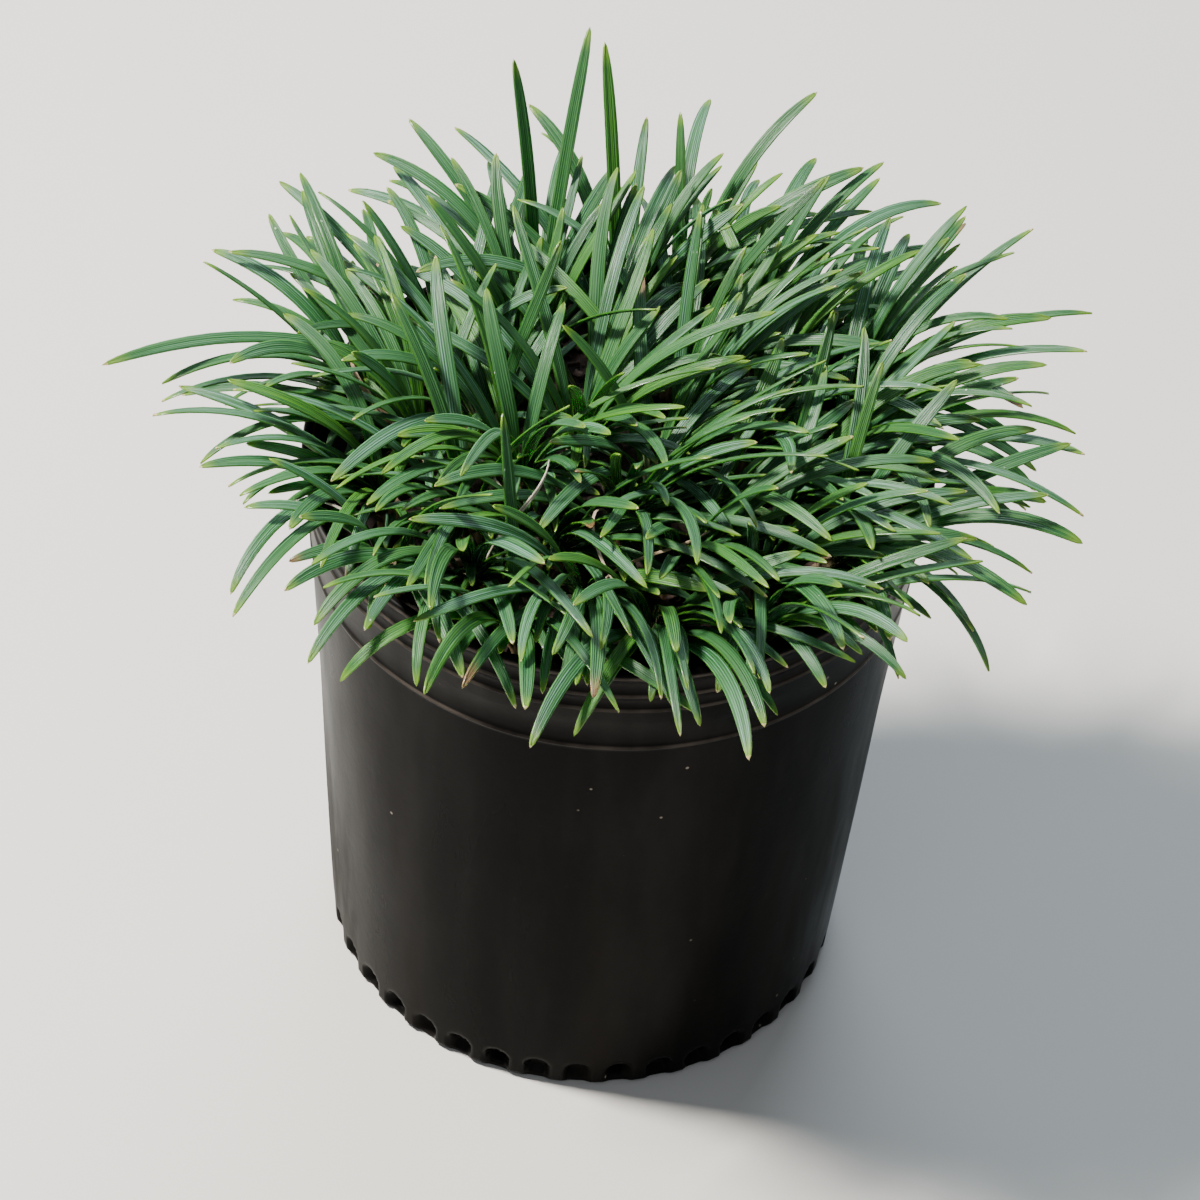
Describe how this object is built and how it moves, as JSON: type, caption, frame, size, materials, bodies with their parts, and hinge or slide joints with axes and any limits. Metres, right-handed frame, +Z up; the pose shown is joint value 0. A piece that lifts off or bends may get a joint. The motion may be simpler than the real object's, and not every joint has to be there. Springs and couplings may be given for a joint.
{
  "type": "potted mondo grass",
  "caption": "Low mound of arching dark green strap leaves growing in tufts from bark mix in a black round nursery pot with a ringed rim and a scalloped foot.",
  "frame": {"origin": "middle of the pot's flat underside, on the surface the pot stands on", "axes": "+Z up along the pot's axis, -Y towards the viewer, +X to the right in the picture"},
  "size_m": [0.257, 0.2442, 0.2392],
  "materials": {
    "pot_plastic": "satin black blow-moulded plastic with scuffs and dust",
    "bark_mix": "rough moist bark fines and chips",
    "leaf": "waxy dark green leaf with fine lengthwise veins and pale tips"
  },
  "bodies": {
    "root": {"pot": "pot_plastic", "potting_mix": "bark_mix", "tuft_01": "leaf", "tuft_02": "leaf", "tuft_03": "leaf", "tuft_04": "leaf", "tuft_05": "leaf", "tuft_06": "leaf", "tuft_07": "leaf", "tuft_08": "leaf", "tuft_09": "leaf", "tuft_10": "leaf", "tuft_11": "leaf", "tuft_12": "leaf", "tuft_13": "leaf", "tuft_14": "leaf", "tuft_15": "leaf", "tuft_16": "leaf", "tuft_17": "leaf", "tuft_18": "leaf", "tuft_19": "leaf", "tuft_20": "leaf", "tuft_21": "leaf", "tuft_22": "leaf", "tuft_23": "leaf", "tuft_24": "leaf", "tuft_25": "leaf", "tuft_26": "leaf", "tuft_27": "leaf", "tuft_28": "leaf", "tuft_29": "leaf", "tuft_30": "leaf", "tuft_31": "leaf", "tuft_32": "leaf", "tuft_33": "leaf", "tuft_34": "leaf"}
  },
  "joints": []
}
